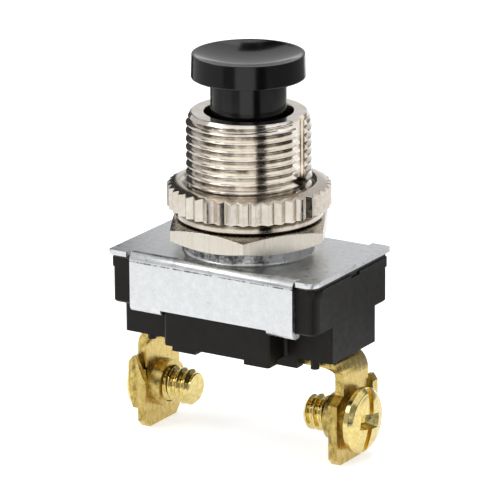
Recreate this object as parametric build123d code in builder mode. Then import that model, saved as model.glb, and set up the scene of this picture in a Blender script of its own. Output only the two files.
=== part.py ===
"""Panel-mounted momentary pushbutton switch with two screw terminals, in millimetres.

The origin is on the bushing's axis at the outer face of the knurled nut, where the free
thread starts. +Z points along the button, +X along the long side of the body.
The body and the terminals repeat after half a turn about Z.
"""

import os
from math import atan2, degrees, pi

from build123d import *

os.makedirs("parts", exist_ok=True)

# Bushing
thread_diameter = 11.8
thread_pitch = 25.4 / 32
thread_depth = 0.4
thread_land = 0.3
bushing_rise = 6.7
bushing_bevel_width = 0.45
bushing_bevel_height = 0.9
mouth_width = 0.57
mouth_depth = 1.6
keyway_width = 2.1
keyway_depth = 0.75
keyway_foot = 0.15
stake_flare = 0.35

# Nuts on the bushing
face_nut_wall = 1.85
face_nut_height = 3.48
face_nut_hub_height = 1.1
face_nut_hub_step = 0.8
face_nut_hub_bevel = 0.15
face_nut_top_bevel_width = 0.8
face_nut_top_bevel_height = 0.35
face_nut_sink_width = 0.7
face_nut_sink_depth = 0.75
serration_count = 40
serration_depth = 0.42
hex_nut_wall = 1.245
hex_nut_height = 1.88
hex_nut_turn = -2.8
hex_nut_top_inset = 0.1
hex_nut_top_slope = 0.29
hex_nut_foot_inset = 0.2
hex_nut_foot_slope = 0.41
nut_gap = 0.1
nut_seat_gap = 0.05
nut_thread_clearance = 0.06
thread_lead_in = 0.3

# Sheet steel frame
sheet = 0.5
plate_length = 22.5
plate_width = 14.2
corner_round = 1.1
corner_break = 0.3
collar_height = 1.19
collar_fillet = 0.3
collar_step = 0.2
lug_length = 2.35
flap_drop = 5.2
flap_bend = 0.3
bend_relief = 0.35
tab_gap = 0.05
tab_reach = 1.3
tab_bend = 0.15
tab_step = 0.1

# Housing and insulator
insulator_thickness = 0.35
housing_set_back = 0.15
housing_gap = 0.05
lip_height = 0.95
lip_notch_width = 1.5
lip_notch_height = 0.3
lip_notch_offset = 0.45
ledge_bevel = 0.2
housing_depth = 8.7
end_block_near = 3.6
end_block_far = 4.6
centre_block_near = 6.0
centre_block_far = 5.5
block_round = 0.3
floor_thickness = 1.4
well_depth = 0.7
end_wall = 1.5
cavity_round = 0.5
pad_height = 0.42
pad_depth = 1.5
pad_long = 2.6
pad_short = 2.7
pad_inset = 0.9
platform_length = 14.6
platform_width = 7.2
platform_height = 1.0
platform_gap = 0.1
nub_radius = 0.42
nub_height = 0.85
nub_inset = 2.1
nub_offset = 3.15

# Button and its running gear
button_diameter = 10.6
button_draft = 0.07
button_head = 2.25
button_gap = 3.25
button_dish = 0.95
button_rim = 0.22
stem_diameter = 7.16
stem_clearance = 0.06
travel = 2.4
overtravel = 0.6
ring_width = 1.6
ring_thickness = 0.4
ring_groove_depth = 0.6
ring_opening = 70
ring_play = 0.05
stem_below_ring = 0.5
stem_room = 0.3
ring_room = 0.6
spigot_diameter = 2.4
spigot_tail = 0.3
clip_width = 1.1
clip_thickness = 0.4
clip_groove_depth = 0.25
clip_opening = 50
clip_play = 0.05

# Contacts
contact_inset = 3.2
contact_air = 0.02
contact_diameter = 2.2
fixed_contact_height = 0.3
moving_contact_height = 0.45
contact_bevel = 0.1
moving_shank_diameter = 1.2
peen_diameter = 1.7
peen_height = 0.2
bridge_thickness = 0.5
bridge_width = 3.4
bridge_eye_width = 0.85
bridge_overhang = 1.2
bridge_hole_clearance = 0.25
channel_room = 0.3
rivet_head_diameter = 2.4
rivet_head_height = 0.35
rivet_shank_diameter = 1.5
rivet_tail_diameter = 2.4
rivet_tail_height = 0.4
rivet_tail_bevel = 0.2

# Springs
wire_sides = 8
contact_spring_wire = 0.3
contact_spring_room = 0.5
contact_spring_turns = 2.5
return_spring_wire = 0.34
return_spring_room = 0.13
return_spring_flare = 0.85
return_spring_turns = 2.25
well_room = 0.15

# Terminals and their screws
strip = 0.92
terminal_shift = 0.2
terminal_bend = 1.1
foot_tail = 1.4
foot_near = 2.4
neck_near = 1.8
neck_far = 2.75
blade_near = 3.1
blade_far = 2.9
neck_drop = 1.5
shoulder_drop = 3.6
shoulder_height = 0.7
blade_drop = 10.25
blade_clip = 0.65
ear_drop = 2.85
ear_height = 5.15
ear_reach = 0.42
ear_bend = 0.25
ear_slit_depth = 2.9
ear_slit_width = 0.4
ear_slit_slant = 0.6
ear_top_slope = 0.6
ear_foot_slope = 2.0
screw_drop = 6.3
screw_diameter = 3.5
screw_clearance = 0.05
screw_length = 5.3
screw_point = 0.35
screw_head_diameter = 6.3
screw_rim_height = 0.5
screw_bevel_width = 0.42
screw_bevel_height = 0.42
screw_dome = 0.38
screw_gap_right = 0.62
screw_gap_left = 0.46
slot_width = 0.8
slot_depth = 0.8
cross_length = 3.7
cross_width = 1.5
cross_depth = 1.1
cross_floor = 0.45
recess_turn = -11
tapped_collar_wall = 0.5
tapped_collar_height = 1.15

# Radii about the bushing's axis
thread_radius = thread_diameter / 2
engaged_radius = thread_radius - 0.325 * thread_pitch
nut_bore = engaged_radius + nut_thread_clearance
face_nut_radius = thread_radius + face_nut_wall
hex_nut_half = thread_radius + hex_nut_wall
collar_radius = thread_radius + collar_step
neck_radius = collar_radius - sheet
stem_radius = stem_diameter / 2
bore_radius = stem_radius + stem_clearance
groove_radius = stem_radius - ring_groove_depth
ring_radius = groove_radius + ring_width
spigot_radius = spigot_diameter / 2
clip_bore = spigot_radius - clip_groove_depth
clip_radius = clip_bore + clip_width
button_radius = button_diameter / 2
bridge_bore = spigot_radius + bridge_hole_clearance
bridge_eye = bridge_bore + bridge_eye_width
contact_coil = spigot_radius + contact_spring_room + contact_spring_wire / 2
return_coil_head = spigot_radius + return_spring_room + return_spring_wire / 2
return_coil_foot = return_coil_head + return_spring_flare
well_radius = return_coil_foot + return_spring_wire / 2 + well_room

# Heights of the fixed stack, downwards from the face nut's outer face
face_nut_foot = -face_nut_height
knurl_foot = face_nut_foot + face_nut_hub_height
hex_nut_top = face_nut_foot - nut_gap
hex_nut_foot = hex_nut_top - hex_nut_height
collar_top = hex_nut_foot - nut_seat_gap
plate_top = collar_top - collar_height
plate_foot = plate_top - sheet
housing_top = plate_foot - insulator_thickness
flap_foot = plate_top - flap_drop
ledge = flap_foot - tab_step
housing_foot = plate_top - housing_depth
floor_top = housing_foot + floor_thickness
well_floor = floor_top - well_depth
strip_foot = housing_foot - strip
blade_foot = housing_foot - blade_drop
neck_top = housing_foot - neck_drop
shoulder_top = housing_foot - shoulder_drop
shoulder_foot = shoulder_top - shoulder_height
ear_top = housing_foot - ear_drop
ear_foot = ear_top - ear_height
screw_height = housing_foot - screw_drop

# Heights of the running gear at rest
head_foot = bushing_rise + button_gap
head_top = head_foot + button_head
ring_top = plate_foot - ring_play
ring_foot = ring_top - ring_thickness
stem_foot = ring_foot - stem_below_ring
cavity_foot = stem_foot - travel - stem_room
rivet_face = floor_top + rivet_head_height
fixed_face = rivet_face + fixed_contact_height
contact_gap = travel - overtravel + contact_air
bridge_foot = fixed_face + contact_gap + moving_contact_height
bridge_top = bridge_foot + bridge_thickness
clip_top = bridge_foot - clip_play
clip_foot = clip_top - clip_thickness
spigot_foot = clip_foot - spigot_tail

# Places along and across the body
half_width = plate_width / 2
flap_length = plate_length - 2 * lug_length
bend_line = half_width - sheet - flap_bend
housing_length = plate_length - 2 * housing_set_back
housing_width = plate_width - 2 * sheet - 2 * housing_gap
half_length = housing_length / 2
cavity_length = housing_length - 2 * end_wall
channel_width = 2 * (max(bridge_eye, bridge_width / 2) + channel_room)
contact_spread = half_length - contact_inset
nub_spread = half_length - nub_inset
screw_head_height = screw_rim_height + screw_bevel_height + screw_dome


def finish(piece, label):
    """Labels a finished piece and writes it under that name."""
    piece.part.label = label
    export_step(piece.part, f"parts/{label}.step")


def finish_turned(piece, label, turn):
    """Writes a piece after a turn about the bushing's axis, in degrees."""
    with BuildPart() as placed:
        add(piece.part, rotation=(0, 0, turn))
    finish(placed, label)


def finish_pair(piece, label):
    """Writes a right-hand piece, and its copy half a turn round as the left-hand one."""
    finish_turned(piece, f"{label}_right", 0)
    finish_turned(piece, f"{label}_left", 180)


def sector(radius, opening):
    """Corners of a wedge that opens a ring on its +X side."""
    edge = radius * 2
    return [
        (0, 0),
        Vector(edge, 0).rotate(Axis.Z, -opening / 2),
        Vector(edge, 0).rotate(Axis.Z, opening / 2),
    ]


def body_outline(length, width):
    """Draws the body's plan: two corners well rounded, and the other two only broken."""
    Rectangle(length, width)
    rounded = vertices().filter_by(lambda corner: corner.X * corner.Y < 0)
    fillet(rounded, corner_round)
    square = vertices().filter_by(lambda corner: corner.X * corner.Y > width * length / 4.2)
    fillet(square, corner_break)


# Button: a turned form with a dished head, a stem, the ring's groove and the spigot
with BuildPart() as button:
    with BuildSketch(Plane.XZ):
        with BuildLine():
            dish = TangentArc(
                (0, head_top - button_dish),
                (button_radius - button_rim, head_top),
                tangent=(1, 0),
            )
            Polyline(
                dish @ 1,
                (button_radius, head_top),
                (button_radius + button_draft, head_foot),
                (stem_radius, head_foot),
                (stem_radius, ring_top),
                (groove_radius, ring_top),
                (groove_radius, ring_foot),
                (stem_radius, ring_foot),
                (stem_radius, stem_foot),
                (spigot_radius, stem_foot),
                (spigot_radius, clip_top),
                (clip_bore, clip_top),
                (clip_bore, clip_foot),
                (spigot_radius, clip_foot),
                (spigot_radius, spigot_foot),
                (0, spigot_foot),
                dish @ 0,
            )
        make_face()
    revolve(axis=Axis.Z)
finish(button, "button")

# Retaining ring and bridge clip: open rings sprung into the grooves
with BuildPart() as retaining_ring:
    with BuildSketch(Plane.XY.offset(ring_foot)):
        Circle(ring_radius)
        Circle(groove_radius, mode=Mode.SUBTRACT)
        Polygon(*sector(ring_radius, ring_opening), align=None, mode=Mode.SUBTRACT)
    extrude(amount=ring_thickness)
finish(retaining_ring, "retaining_ring")

with BuildPart() as bridge_clip:
    with BuildSketch(Plane.XY.offset(clip_foot)):
        Circle(clip_radius)
        Circle(clip_bore, mode=Mode.SUBTRACT)
        Polygon(*sector(clip_radius, clip_opening), align=None, mode=Mode.SUBTRACT)
    extrude(amount=clip_thickness)
finish(bridge_clip, "bridge_clip")

# Bushing: the free thread stands at its full diameter as a row of V rings, one per pitch,
# and the stretch inside the nuts at its pitch diameter, where the two threads share the space
with BuildPart() as bushing:
    with BuildSketch(Plane.XZ):
        with BuildLine():
            Polyline(
                (bore_radius, plate_foot),
                (neck_radius + stake_flare, plate_foot),
                (neck_radius, plate_foot + stake_flare),
                (neck_radius, collar_top),
                (engaged_radius, collar_top),
                (engaged_radius, -nut_seat_gap),
                (thread_radius, -nut_seat_gap),
                (thread_radius, bushing_rise - bushing_bevel_height),
                (thread_radius - bushing_bevel_width, bushing_rise),
                (bore_radius + mouth_width, bushing_rise),
                (bore_radius + mouth_width, bushing_rise - mouth_depth),
                (bore_radius, bushing_rise - mouth_depth),
                close=True,
            )
        make_face()
    revolve(axis=Axis.Z)
    with BuildSketch(Plane.YZ.offset(thread_radius - keyway_depth)):
        with Locations((0, keyway_foot + keyway_width / 2)):
            Circle(keyway_width / 2)
            Rectangle(keyway_width, bushing_rise, align=(Align.CENTER, Align.MIN))
    extrude(amount=2 * keyway_depth, mode=Mode.SUBTRACT)
    thread_turns = int((bushing_rise - bushing_bevel_height) / thread_pitch)
    thread_half = thread_pitch * (1 - thread_land) / 2
    with BuildSketch(Plane.XZ):
        for turn in range(thread_turns):
            with Locations((thread_radius, (turn + 0.5) * thread_pitch)):
                Polygon(
                    (thread_depth, 2 * thread_half),
                    (-thread_depth, 0),
                    (thread_depth, -2 * thread_half),
                    align=None,
                )
    revolve(axis=Axis.Z, mode=Mode.SUBTRACT)
finish(bushing, "bushing")

# Face nut: a turned ring on a plain hub, cut by a ring of V grooves
with BuildPart() as face_nut:
    with BuildSketch(Plane.XZ):
        with BuildLine():
            Polyline(
                (nut_bore + thread_lead_in, face_nut_foot),
                (face_nut_radius - face_nut_hub_step - face_nut_hub_bevel, face_nut_foot),
                (face_nut_radius - face_nut_hub_step, face_nut_foot + face_nut_hub_bevel),
                (face_nut_radius - face_nut_hub_step, knurl_foot),
                (face_nut_radius, knurl_foot),
                (face_nut_radius, -face_nut_top_bevel_height),
                (face_nut_radius - face_nut_top_bevel_width, 0),
                (nut_bore + face_nut_sink_width, 0),
                (nut_bore, -face_nut_sink_depth),
                (nut_bore, face_nut_foot + thread_lead_in),
                close=True,
            )
        make_face()
    revolve(axis=Axis.Z)
    groove_half = 0.95 * pi * face_nut_radius / serration_count
    with BuildSketch(Plane.XY.offset(knurl_foot)):
        with PolarLocations(face_nut_radius, serration_count):
            Polygon(
                (-serration_depth, 0),
                (serration_depth, -2 * groove_half),
                (serration_depth, 2 * groove_half),
                align=None,
            )
    extrude(amount=-knurl_foot, mode=Mode.SUBTRACT)
finish(face_nut, "face_nut")

# Hexagon nut: turned crowns on both sides leave arched flats
with BuildPart() as hex_nut:
    with BuildSketch(Plane.XY.offset(hex_nut_foot)):
        RegularPolygon(hex_nut_half, 6, major_radius=False, rotation=hex_nut_turn)
    extrude(amount=hex_nut_height)
    with BuildSketch(Plane.XZ):
        with BuildLine():
            top_crown = hex_nut_half - hex_nut_top_inset
            foot_crown = hex_nut_half - hex_nut_foot_inset
            rise = hex_nut_height + top_crown * hex_nut_top_slope + foot_crown * hex_nut_foot_slope
            peak = rise / (hex_nut_top_slope + hex_nut_foot_slope)
            Polyline(
                (nut_bore + thread_lead_in, hex_nut_foot),
                (foot_crown, hex_nut_foot),
                (peak, hex_nut_foot + (peak - foot_crown) * hex_nut_foot_slope),
                (top_crown, hex_nut_top),
                (nut_bore + thread_lead_in, hex_nut_top),
                (nut_bore, hex_nut_top - thread_lead_in),
                (nut_bore, hex_nut_foot + thread_lead_in),
                close=True,
            )
        make_face()
    revolve(axis=Axis.Z, mode=Mode.INTERSECT)
finish(hex_nut, "hex_nut")

# One flap of the frame, at the front, with its two tabs clinched under the ledge
with BuildPart() as flap:
    flap_middle = sheet / 2 - half_width
    with BuildSketch(Plane.YZ):
        with BuildLine():
            FilletPolyline(
                (sheet - bend_line, plate_top - sheet / 2),
                (flap_middle, plate_top - sheet / 2),
                (flap_middle, flap_foot),
                radius=flap_bend + sheet / 2,
            )
        trace(line_width=sheet)
    extrude(amount=flap_length / 2, both=True)
    for tab_start, tab_end in (
        (centre_block_near + tab_gap, flap_length / 2),
        (-flap_length / 2, -centre_block_far - tab_gap),
    ):
        with BuildSketch(Plane.YZ.offset(tab_start)):
            with BuildLine():
                FilletPolyline(
                    (flap_middle, flap_foot + sheet),
                    (flap_middle, ledge - sheet / 2),
                    (tab_reach - half_width, ledge - sheet / 2),
                    radius=tab_bend + sheet / 2,
                )
            trace(line_width=sheet)
        extrude(amount=tab_end - tab_start)

# Top frame: the plate with its end lugs, the drawn collar and both flaps
with BuildPart() as top_frame:
    with BuildSketch(Plane.XY.offset(plate_foot)):
        body_outline(plate_length, plate_width)
        with Locations((0, half_width), (0, -half_width)):
            Rectangle(
                flap_length + 2 * bend_relief,
                2 * (half_width - bend_line),
                mode=Mode.SUBTRACT,
            )
    extrude(amount=sheet)
    with BuildSketch(Plane.XZ):
        with BuildLine():
            root = JernArc(
                (collar_radius + collar_fillet, plate_top), (-1, 0), collar_fillet, -90
            )
            Polyline(root @ 1, (collar_radius, collar_top), (0, collar_top), (0, plate_top), root @ 0)
        make_face()
    revolve(axis=Axis.Z)
    add(flap.part)
    add(flap.part, rotation=(0, 0, 180))
    with BuildSketch(Plane.XZ):
        Polygon(
            (0, plate_foot),
            (neck_radius + stake_flare, plate_foot),
            (neck_radius, plate_foot + stake_flare),
            (neck_radius, collar_top),
            (0, collar_top),
            align=None,
        )
    revolve(axis=Axis.Z, mode=Mode.SUBTRACT)
finish(top_frame, "top_frame")

# Insulator: a fibre sheet under the plate, cut back beside the flaps' bends
with BuildPart() as insulator:
    with BuildSketch(Plane.XY.offset(housing_top)):
        body_outline(housing_length, housing_width)
        with Locations((0, half_width), (0, -half_width)):
            Rectangle(
                flap_length + 2 * bend_relief,
                2 * (half_width - bend_line + housing_gap),
                mode=Mode.SUBTRACT,
            )
        Circle(ring_radius + ring_room / 2, mode=Mode.SUBTRACT)
    extrude(amount=insulator_thickness)
finish(insulator, "insulator")

# Outline of the housing below its ledges, relieved at each corner for the tabs
with BuildSketch() as lower_outline:
    with PolarLocations(0, 2):
        with Locations((0, (end_block_far - end_block_near) / 2)):
            Rectangle(half_length, end_block_near + end_block_far, align=(Align.MIN, Align.CENTER))
        with Locations(((centre_block_near - centre_block_far) / 2, 0)):
            Rectangle(
                centre_block_near + centre_block_far,
                housing_width / 2,
                align=(Align.CENTER, Align.MAX),
            )
    fillet(vertices(), block_round)

# Housing: a moulded box with a lip, relieved lower corners and feet, hollowed from above
with BuildPart() as housing:
    with BuildSketch(Plane.XY.offset(ledge)):
        body_outline(housing_length, housing_width)
    extrude(amount=housing_top - ledge)
    chamfer(faces().sort_by(Axis.Z)[0].edges(), ledge_bevel)
    with BuildSketch(Plane.XY.offset(housing_top - lip_height)):
        body_outline(plate_length, housing_width)
    extrude(amount=lip_height)
    with BuildSketch(Plane.YZ.offset(half_length)):
        with Locations((lip_notch_offset, housing_top - lip_notch_height / 2)):
            Rectangle(lip_notch_width, lip_notch_height)
    extrude(amount=housing_set_back, mode=Mode.SUBTRACT)
    with BuildSketch(Plane.XY.offset(housing_foot)):
        add(lower_outline.sketch)
    extrude(amount=ledge + ledge_bevel - housing_foot)
    with BuildSketch(Plane.XY.offset(housing_foot)):
        with PolarLocations(0, 2):
            with Locations((centre_block_near, -housing_width / 2)):
                Rectangle(pad_short, pad_depth, align=(Align.MAX, Align.MIN))
            with Locations((pad_inset - centre_block_far, -housing_width / 2)):
                Rectangle(pad_long, pad_depth, align=Align.MIN)
        add(lower_outline.sketch, mode=Mode.INTERSECT)
    extrude(amount=-pad_height)
    with BuildSketch(Plane.XY.offset(housing_foot)):
        Rectangle(platform_length, platform_width)
        with PolarLocations(0, 2):
            with Locations((contact_spread - foot_tail - platform_gap, (neck_far - foot_near) / 2)):
                Rectangle(
                    platform_length,
                    neck_far + foot_near + 2 * platform_gap,
                    align=(Align.MIN, Align.CENTER),
                    mode=Mode.SUBTRACT,
                )
    extrude(amount=-platform_height)
    with BuildSketch(Plane.XY.offset(housing_foot)):
        with GridLocations(2 * nub_spread, 2 * nub_offset, 2, 2):
            Circle(nub_radius)
    extrude(amount=-nub_height)
    with BuildSketch(Plane.XY.offset(cavity_foot)):
        RectangleRounded(cavity_length, 2 * (ring_radius + ring_room), cavity_round)
    extrude(amount=housing_top - cavity_foot, mode=Mode.SUBTRACT)
    with BuildSketch(Plane.XY.offset(floor_top)):
        RectangleRounded(cavity_length, channel_width, cavity_round)
    extrude(amount=cavity_foot - floor_top, mode=Mode.SUBTRACT)
    with BuildSketch(Plane.XY.offset(well_floor)):
        Circle(well_radius)
    extrude(amount=cavity_foot - well_floor, mode=Mode.SUBTRACT)
    with BuildSketch(Plane.XY.offset(housing_foot)):
        with GridLocations(2 * contact_spread, 0, 2, 1):
            Circle(rivet_shank_diameter / 2)
    extrude(amount=floor_thickness, mode=Mode.SUBTRACT)
finish(housing, "housing")

# Terminals and screws. Each strip is bent to its own place, as the two stand a little to
# the right of the middle
for side, turn, shift, screw_gap in (
    ("right", 0, terminal_shift, screw_gap_right),
    ("left", 180, -terminal_shift, screw_gap_left),
):
    face = half_length + shift
    blade_middle = face - strip / 2
    screw_seat = face + screw_gap
    screw_top = screw_seat + screw_head_height

    # Wire-guard ear, folded out from the blade's edge and slit free of the neck
    with BuildPart() as ear:
        with BuildSketch(Plane.XY.offset(ear_foot)):
            with BuildLine():
                FilletPolyline(
                    (blade_middle, blade_far - strip),
                    (blade_middle, blade_far + strip / 2),
                    (face + ear_reach, blade_far + strip / 2),
                    radius=ear_bend + strip / 2,
                )
            trace(line_width=strip)
        extrude(amount=ear_height)
        with BuildSketch(Plane.XZ):
            Polygon(
                (face - strip, ear_foot),
                (face, ear_foot),
                (face + ear_reach, ear_foot + ear_foot_slope),
                (face + ear_reach, ear_top - ear_top_slope),
                (face, ear_top),
                (face - strip + ear_slit_slant, ear_top),
                (face - strip, ear_top - ear_slit_depth),
                align=None,
            )
        extrude(amount=plate_width, both=True, mode=Mode.INTERSECT)

    # Bent strip cut to its outline, with the ear, the tapped collar and the rivet's hole
    with BuildPart() as terminal:
        with BuildSketch(Plane.XZ):
            with BuildLine():
                FilletPolyline(
                    (contact_spread - foot_tail, housing_foot - strip / 2),
                    (blade_middle, housing_foot - strip / 2),
                    (blade_middle, blade_foot),
                    radius=terminal_bend + strip / 2,
                )
            trace(line_width=strip)
        extrude(amount=blade_near + blade_far, both=True)
        with BuildSketch(Plane.YZ):
            Polygon(
                (-foot_near, housing_foot),
                (-foot_near, strip_foot),
                (-neck_near, neck_top),
                (-neck_near, shoulder_top),
                (-blade_near, shoulder_foot),
                (-blade_near, blade_foot + blade_clip),
                (blade_clip - blade_near, blade_foot),
                (blade_far - blade_clip, blade_foot),
                (blade_far, blade_foot + blade_clip),
                (blade_far, shoulder_foot),
                (neck_far, shoulder_top),
                (neck_far, housing_foot),
                align=None,
            )
        extrude(amount=2 * face, mode=Mode.INTERSECT)
        add(ear.part)
        with BuildSketch(Plane.YZ.offset(face + ear_bend)):
            Polygon(
                (neck_far, ear_top + strip),
                (neck_far, ear_top),
                (blade_far - ear_slit_width, ear_top - ear_slit_depth),
                (blade_far + ear_slit_width, ear_top),
                (blade_far + ear_slit_width, ear_top + strip),
                align=None,
            )
        extrude(amount=-2 * strip, mode=Mode.SUBTRACT)
        with BuildSketch(Plane.YZ.offset(face - strip)):
            with Locations((0, screw_height)):
                Circle(screw_diameter / 2 + screw_clearance + tapped_collar_wall)
        extrude(amount=-tapped_collar_height)
        with BuildSketch(Plane.YZ.offset(face)):
            with Locations((0, screw_height)):
                Circle(screw_diameter / 2 + screw_clearance)
        extrude(amount=-strip - tapped_collar_height, mode=Mode.SUBTRACT)
        with BuildSketch(Plane.XY.offset(strip_foot)):
            with Locations((contact_spread, 0)):
                Circle(rivet_shank_diameter / 2)
        extrude(amount=strip, mode=Mode.SUBTRACT)
    finish_turned(terminal, f"terminal_{side}", turn)

    # Screw with a binding head, a through slot and a tapered cross recess
    with BuildPart() as screw:
        with BuildSketch(Plane.XZ):
            with BuildLine():
                shank = screw_height + screw_diameter / 2
                rim = screw_height + screw_head_diameter / 2
                dome = TangentArc(
                    (screw_top, screw_height),
                    (screw_top - screw_dome, rim - screw_bevel_width),
                    tangent=(0, 1),
                )
                Polyline(
                    dome @ 1,
                    (screw_seat + screw_rim_height, rim),
                    (screw_seat, rim),
                    (screw_seat, shank),
                    (screw_seat - screw_length + screw_point, shank),
                    (screw_seat - screw_length, shank - screw_point),
                    (screw_seat - screw_length, screw_height),
                    dome @ 0,
                )
            make_face()
        revolve(axis=Axis((0, 0, screw_height), (1, 0, 0)))
        with BuildSketch(Plane.YZ.offset(screw_top - slot_depth)):
            with Locations((0, screw_height)):
                Rectangle(slot_width, 2 * screw_head_diameter, rotation=recess_turn)
        extrude(amount=2 * slot_depth, mode=Mode.SUBTRACT)
        for depth, share in ((0, 1), (cross_depth, cross_floor)):
            with BuildSketch(Plane.YZ.offset(screw_top - depth)):
                with Locations((0, screw_height)):
                    Rectangle(share * cross_length, share * cross_width, rotation=recess_turn)
        loft(mode=Mode.SUBTRACT)
    finish_turned(screw, f"terminal_screw_{side}", turn)

# Terminal rivet: a head inside on the floor and a peened tail under the strip
with BuildPart() as rivet:
    with Locations((contact_spread, 0, floor_top)):
        Cylinder(rivet_head_diameter / 2, rivet_head_height, align=(Align.CENTER, Align.CENTER, Align.MIN))
    with Locations((contact_spread, 0, strip_foot)):
        Cylinder(
            rivet_shank_diameter / 2,
            floor_top - strip_foot,
            align=(Align.CENTER, Align.CENTER, Align.MIN),
        )
        Cylinder(rivet_tail_diameter / 2, rivet_tail_height, align=(Align.CENTER, Align.CENTER, Align.MAX))
    chamfer(edges().group_by(Axis.Z)[0], rivet_tail_bevel)
finish_pair(rivet, "terminal_rivet")

# Fixed contact: a silver disc on the rivet's head
with BuildPart() as fixed_contact:
    with Locations((contact_spread, 0, rivet_face)):
        Cylinder(
            contact_diameter / 2,
            fixed_contact_height,
            align=(Align.CENTER, Align.CENTER, Align.MIN),
        )
    chamfer(edges().group_by(Axis.Z)[-1], contact_bevel)
finish_pair(fixed_contact, "fixed_contact")

# Moving contact: a silver rivet, domed below the bridge and peened above it
with BuildPart() as moving_contact:
    with Locations((contact_spread, 0, bridge_foot)):
        Cylinder(
            contact_diameter / 2,
            moving_contact_height,
            align=(Align.CENTER, Align.CENTER, Align.MAX),
        )
        Cylinder(
            moving_shank_diameter / 2,
            bridge_thickness,
            align=(Align.CENTER, Align.CENTER, Align.MIN),
        )
    with Locations((contact_spread, 0, bridge_top)):
        Cylinder(peen_diameter / 2, peen_height, align=(Align.CENTER, Align.CENTER, Align.MIN))
    chamfer(edges().group_by(Axis.Z)[0], contact_bevel)
finish_pair(moving_contact, "moving_contact")

# Contact bridge: a strip with an eye for the spigot and a hole for each contact
with BuildPart() as contact_bridge:
    with BuildSketch(Plane.XY.offset(bridge_foot)):
        SlotOverall(2 * (contact_spread + bridge_overhang), bridge_width)
        Circle(bridge_eye)
        Circle(bridge_bore, mode=Mode.SUBTRACT)
        with GridLocations(2 * contact_spread, 0, 2, 1):
            Circle(moving_shank_diameter / 2, mode=Mode.SUBTRACT)
    extrude(amount=bridge_thickness)
finish(contact_bridge, "contact_bridge")

# Contact spring: a plain coil between the stem and the bridge
with BuildPart() as contact_spring:
    coil_height = stem_foot - bridge_top - contact_spring_wire
    with BuildLine():
        coil = Helix(
            coil_height / contact_spring_turns,
            coil_height,
            contact_coil,
            center=(0, 0, bridge_top + contact_spring_wire / 2),
        )
    with BuildSketch(Plane(origin=coil @ 0, z_dir=coil % 0)):
        RegularPolygon(contact_spring_wire / 2, wire_sides)
    sweep(is_frenet=True)
finish(contact_spring, "contact_spring")

# Return spring: a conical coil from the clip down to the well's floor
with BuildPart() as return_spring:
    coil_height = clip_foot - well_floor - return_spring_wire
    with BuildLine():
        cone = Helix(
            coil_height / return_spring_turns,
            coil_height,
            return_coil_head,
            center=(0, 0, clip_foot - return_spring_wire / 2),
            direction=(0, 0, -1),
            cone_angle=degrees(atan2(return_spring_flare, coil_height)),
        )
    with BuildSketch(Plane(origin=cone @ 0, z_dir=cone % 0)):
        RegularPolygon(return_spring_wire / 2, wire_sides)
    sweep(is_frenet=True)
finish(return_spring, "return_spring")
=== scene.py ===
# %% [markdown]
# # A panel pushbutton switch, dressed for the studio
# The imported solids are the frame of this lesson. They already have the right size and place.
# Here each visible metal or plastic piece gets the form that a lathe, a press or a mould leaves
# on the real switch, and a finish made of shader nodes. Shapes are given in millimetres. The
# finishes and the studio round the switch are in metres, as Blender is.

import bmesh
import bpy
import numpy as np
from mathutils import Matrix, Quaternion, Vector


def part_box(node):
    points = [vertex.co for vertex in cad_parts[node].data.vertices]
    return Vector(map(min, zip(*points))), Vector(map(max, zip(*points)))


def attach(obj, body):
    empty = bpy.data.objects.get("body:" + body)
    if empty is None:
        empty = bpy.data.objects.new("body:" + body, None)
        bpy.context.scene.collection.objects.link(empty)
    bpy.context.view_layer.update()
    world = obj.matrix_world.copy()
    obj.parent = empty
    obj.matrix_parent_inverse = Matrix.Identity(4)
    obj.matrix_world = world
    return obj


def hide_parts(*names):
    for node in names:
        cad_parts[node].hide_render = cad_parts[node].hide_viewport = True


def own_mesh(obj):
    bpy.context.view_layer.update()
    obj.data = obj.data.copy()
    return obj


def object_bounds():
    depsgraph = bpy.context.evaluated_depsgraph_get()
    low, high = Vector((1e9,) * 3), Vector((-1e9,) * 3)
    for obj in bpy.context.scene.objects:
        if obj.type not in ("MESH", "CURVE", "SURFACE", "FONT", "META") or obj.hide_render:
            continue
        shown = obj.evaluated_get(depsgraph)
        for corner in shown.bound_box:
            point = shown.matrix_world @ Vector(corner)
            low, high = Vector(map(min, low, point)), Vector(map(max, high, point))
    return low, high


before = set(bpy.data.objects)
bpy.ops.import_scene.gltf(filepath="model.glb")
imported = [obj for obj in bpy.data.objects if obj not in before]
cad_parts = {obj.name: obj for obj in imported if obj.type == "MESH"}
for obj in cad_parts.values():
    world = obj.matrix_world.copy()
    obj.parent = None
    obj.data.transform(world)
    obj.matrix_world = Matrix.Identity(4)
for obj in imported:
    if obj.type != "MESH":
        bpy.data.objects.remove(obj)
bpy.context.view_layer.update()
MM = 0.001
print("solids in the frame:", len(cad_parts))

# %% [markdown]
# ## Camera
# The camera comes first, because every later choice is judged through it. It stands where the
# photographer stood, a little to the right of the front and a little above the plate, with a
# long lens. Four numbers hold its place: two angles, a distance and a small roll. The scale at
# the bushing, in pixels to the millimetre, then gives the lens.

# %% Camera
VIEW_AZIMUTH, VIEW_ELEVATION, VIEW_ROLL = np.radians([31.56, 17.17, 0.38])
VIEW_DISTANCE, VIEW_SCALE = 404.0, 10.63
IMAGE_SIDE, SENSOR = 500, 36.0
AIM = Vector((0.03, 0.02, -6.95))
NEAR, FAR = 0.01, 50.0

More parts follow.
